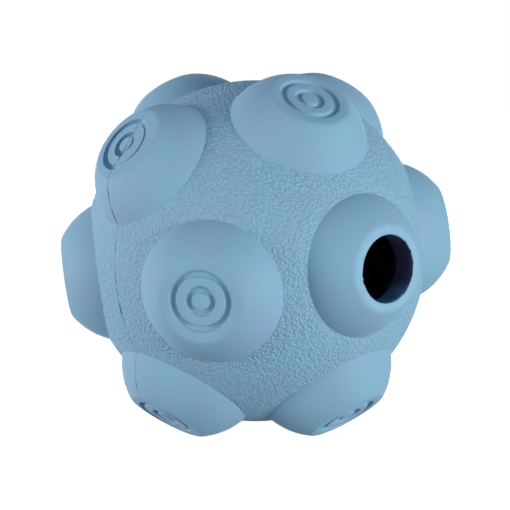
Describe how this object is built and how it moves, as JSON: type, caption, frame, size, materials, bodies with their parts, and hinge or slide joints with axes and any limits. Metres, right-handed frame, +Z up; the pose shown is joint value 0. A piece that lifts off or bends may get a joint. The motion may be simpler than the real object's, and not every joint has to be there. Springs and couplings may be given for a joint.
{
  "type": "treat dispensing ball",
  "caption": "Hollow rubber ball with round knobs all over, flat ringed tips, a grained body and one round hole that drops treats as it rolls.",
  "frame": {"origin": "on the floor, under the centre of the ball as it stands on three knobs", "axes": "+X along the treat hole, out of its mouth, and square to the seam, which lies in the plane X = 0; +Z up"},
  "size_m": [0.09, 0.0834, 0.0834],
  "materials": {
    "ball_rubber": "matt moulded natural rubber, grained on the body and smooth on the knobs",
    "bond_rubber": "matt cured rubber bond, showing as a hairline"
  },
  "bodies": {
    "root": {"mouth_half": "ball_rubber", "blind_half": "ball_rubber", "seam_bond": "bond_rubber"}
  },
  "joints": []
}
